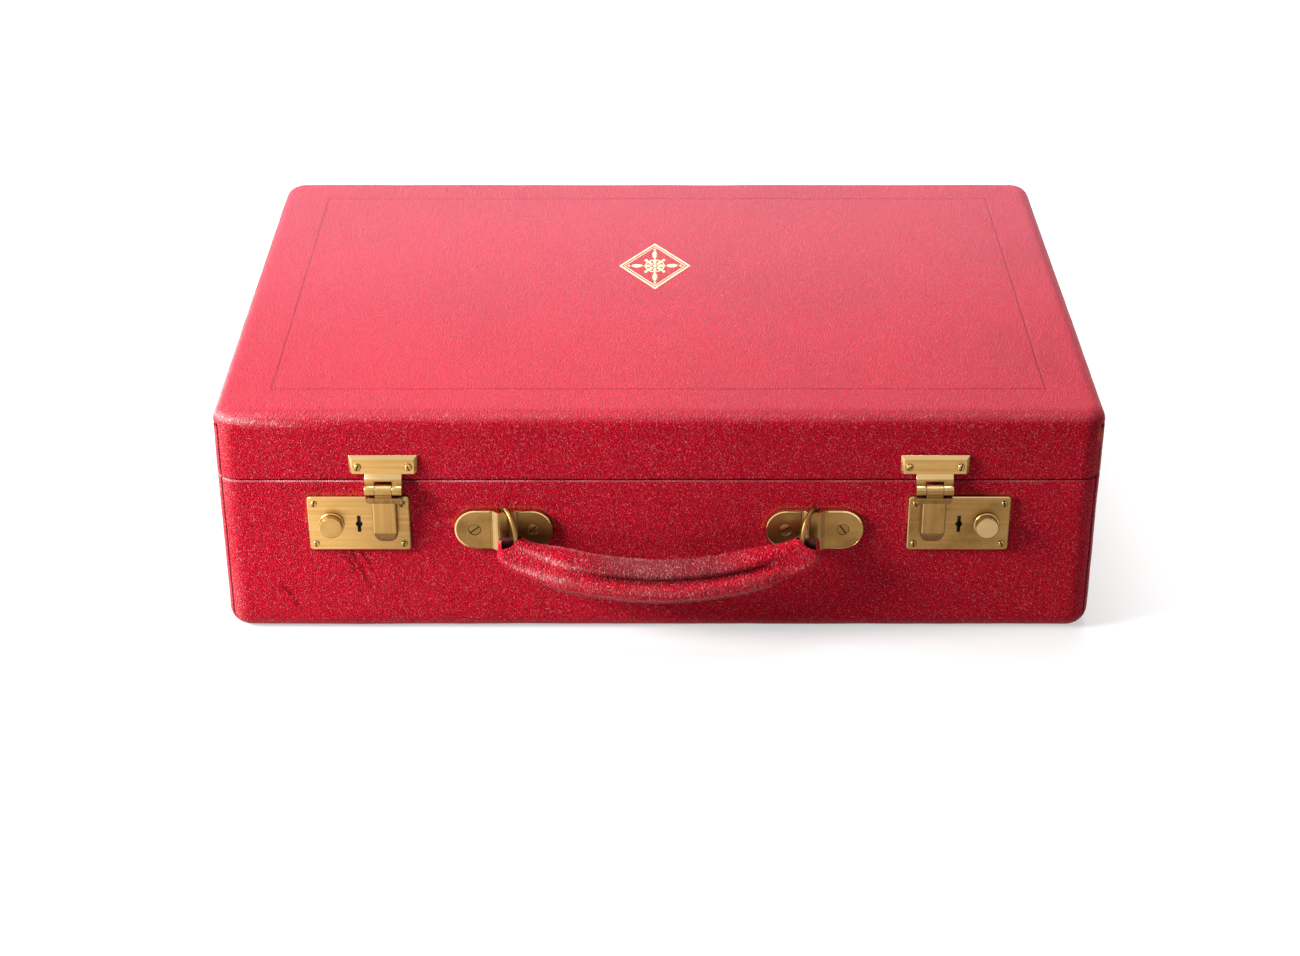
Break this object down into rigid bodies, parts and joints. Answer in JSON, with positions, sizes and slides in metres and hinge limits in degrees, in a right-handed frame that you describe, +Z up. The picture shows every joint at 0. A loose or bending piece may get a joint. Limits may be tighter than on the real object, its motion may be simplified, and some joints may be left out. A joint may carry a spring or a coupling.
{
  "type": "despatch box",
  "caption": "Flat rectangular wooden case covered in grained leather, with a back-hinged lid, hasp locks with sliding knobs on the front and a padded handle on D-rings.",
  "frame": {"origin": "middle of the underside of the box", "axes": "+X to the right along the front, +Y from the front to the hinged back, +Z up"},
  "size_m": [0.457, 0.3426, 0.13],
  "materials": {
    "leather": "grained red goatskin, satin",
    "handle_leather": "grained red goatskin over padding, satin",
    "wood": "planed pine, unvarnished",
    "brass": "brushed",
    "steel": "dark, oiled",
    "lining": "black satin"
  },
  "bodies": {
    "base": {"base_board_front": "wood", "base_board_back": "wood", "base_board_left": "wood", "base_board_right": "wood", "base_floor_board": "wood", "base_leather_front": "leather", "base_leather_back": "leather", "base_leather_left": "leather", "base_leather_right": "leather", "base_leather_bottom": "leather", "base_lining_walls": "lining", "base_floor_pad": "lining", "lock_plate_left": "brass", "lock_case_left": "steel", "lock_screw_left_1": "brass", "lock_screw_left_2": "brass", "lock_screw_left_3": "brass", "lock_screw_left_4": "brass", "handle_plate_left": "brass", "handle_screw_left_1": "brass", "handle_screw_left_2": "brass", "hinge_base_leaf_left": "brass", "hinge_pin_left": "brass", "lock_plate_right": "brass", "lock_case_right": "steel", "lock_screw_right_1": "brass", "lock_screw_right_2": "brass", "lock_screw_right_3": "brass", "lock_screw_right_4": "brass", "handle_plate_right": "brass", "handle_screw_right_1": "brass", "handle_screw_right_2": "brass", "hinge_base_leaf_right": "brass", "hinge_pin_right": "brass"},
    "lid": {"lid_board_front": "wood", "lid_board_back": "wood", "lid_board_left": "wood", "lid_board_right": "wood", "lid_top_board": "wood", "lid_leather_wrap": "leather", "lid_leather_left": "leather", "lid_leather_right": "leather", "lid_lining": "lining", "hasp_mount_left": "brass", "hasp_pin_left": "brass", "hasp_screw_left_1": "brass", "hasp_screw_left_2": "brass", "hinge_lid_leaf_left": "brass", "hasp_mount_right": "brass", "hasp_pin_right": "brass", "hasp_screw_right_1": "brass", "hasp_screw_right_2": "brass", "hinge_lid_leaf_right": "brass"},
    "hasp_left": {"hasp_left": "brass"},
    "hasp_right": {"hasp_right": "brass"},
    "knob_left": {"lock_knob_left": "brass"},
    "knob_right": {"lock_knob_right": "brass"},
    "handle": {"handle_grip": "handle_leather"},
    "ring_left": {"handle_ring_left": "brass"},
    "ring_right": {"handle_ring_right": "brass"}
  },
  "joints": [
    {"name": "lid_hinge", "type": "hinge", "parent": "base", "child": "lid", "pos_m": [0, 0.1588, 0.09175], "axis": [-1, 0, 0], "range_deg": [0, 100]},
    {"name": "hasp_left_hinge", "type": "hinge", "parent": "lid", "child": "hasp_left", "pos_m": [-0.1414, -0.1607, 0.089], "axis": [-1, 0, 0], "range_deg": [0, 125]},
    {"name": "hasp_right_hinge", "type": "hinge", "parent": "lid", "child": "hasp_right", "pos_m": [0.1414, -0.1607, 0.089], "axis": [-1, 0, 0], "range_deg": [0, 125]},
    {"name": "lock_knob_left_slide", "type": "slide", "parent": "base", "child": "knob_left", "axis": [-1, 0, 0], "range_m": [0, 0.0035], "stiffness_N_per_m": 250, "springref_m": -0.002},
    {"name": "lock_knob_right_slide", "type": "slide", "parent": "base", "child": "knob_right", "axis": [1, 0, 0], "range_m": [0, 0.0035], "stiffness_N_per_m": 250, "springref_m": -0.002},
    {"name": "handle_swing", "type": "hinge", "parent": "base", "child": "handle", "pos_m": [0, -0.1574, 0.0638], "axis": [-1, 0, 0], "range_deg": [0, 70]},
    {"name": "ring_left_yaw", "type": "hinge", "parent": "base", "child": "ring_left", "pos_m": [-0.0805, -0.1574, 0.0638], "axis": [0, 0, 1], "range_deg": [-5, 5]},
    {"name": "ring_right_yaw", "type": "hinge", "parent": "base", "child": "ring_right", "pos_m": [0.0805, -0.1574, 0.0638], "axis": [0, 0, 1], "range_deg": [-5, 5]}
  ]
}
